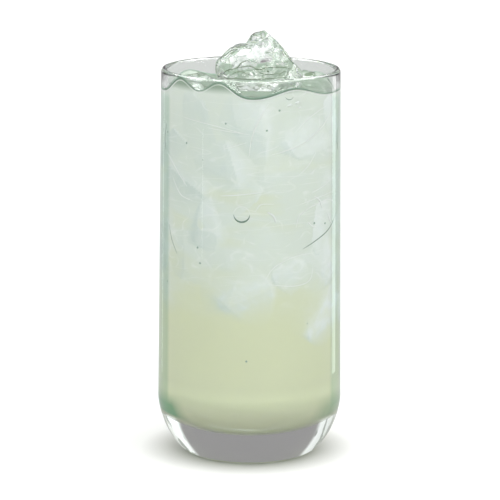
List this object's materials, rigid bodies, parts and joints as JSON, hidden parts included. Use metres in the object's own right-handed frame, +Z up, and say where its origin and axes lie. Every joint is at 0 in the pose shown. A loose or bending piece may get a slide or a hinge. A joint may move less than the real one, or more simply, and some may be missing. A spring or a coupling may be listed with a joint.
{
  "type": "glass of lemonade",
  "caption": "Tall tumbler of cloudy pale lemonade, filled nearly to the brim over clear broken ice, with a craggy lump standing above the rim.",
  "frame": {"origin": "centre of the flat foot that the glass stands on", "axes": "+Z up along the glass's axis; -Y faces the side that the picture shows, +X is that view's right"},
  "size_m": [0.0726, 0.0726, 0.1683],
  "materials": {
    "glass": "clear polished soda glass with a faint green edge",
    "lemonade": "cloudy pale yellow-green liquid, paler and bluer where ice fills it",
    "ice": "clear wet ice with a white frosted core"
  },
  "bodies": {
    "root": {"glass": "glass", "lemonade": "lemonade", "ice_peak": "ice", "ice_left": "ice", "ice_front": "ice", "ice_right": "ice", "ice_back_left": "ice", "ice_back_right": "ice"}
  },
  "joints": []
}
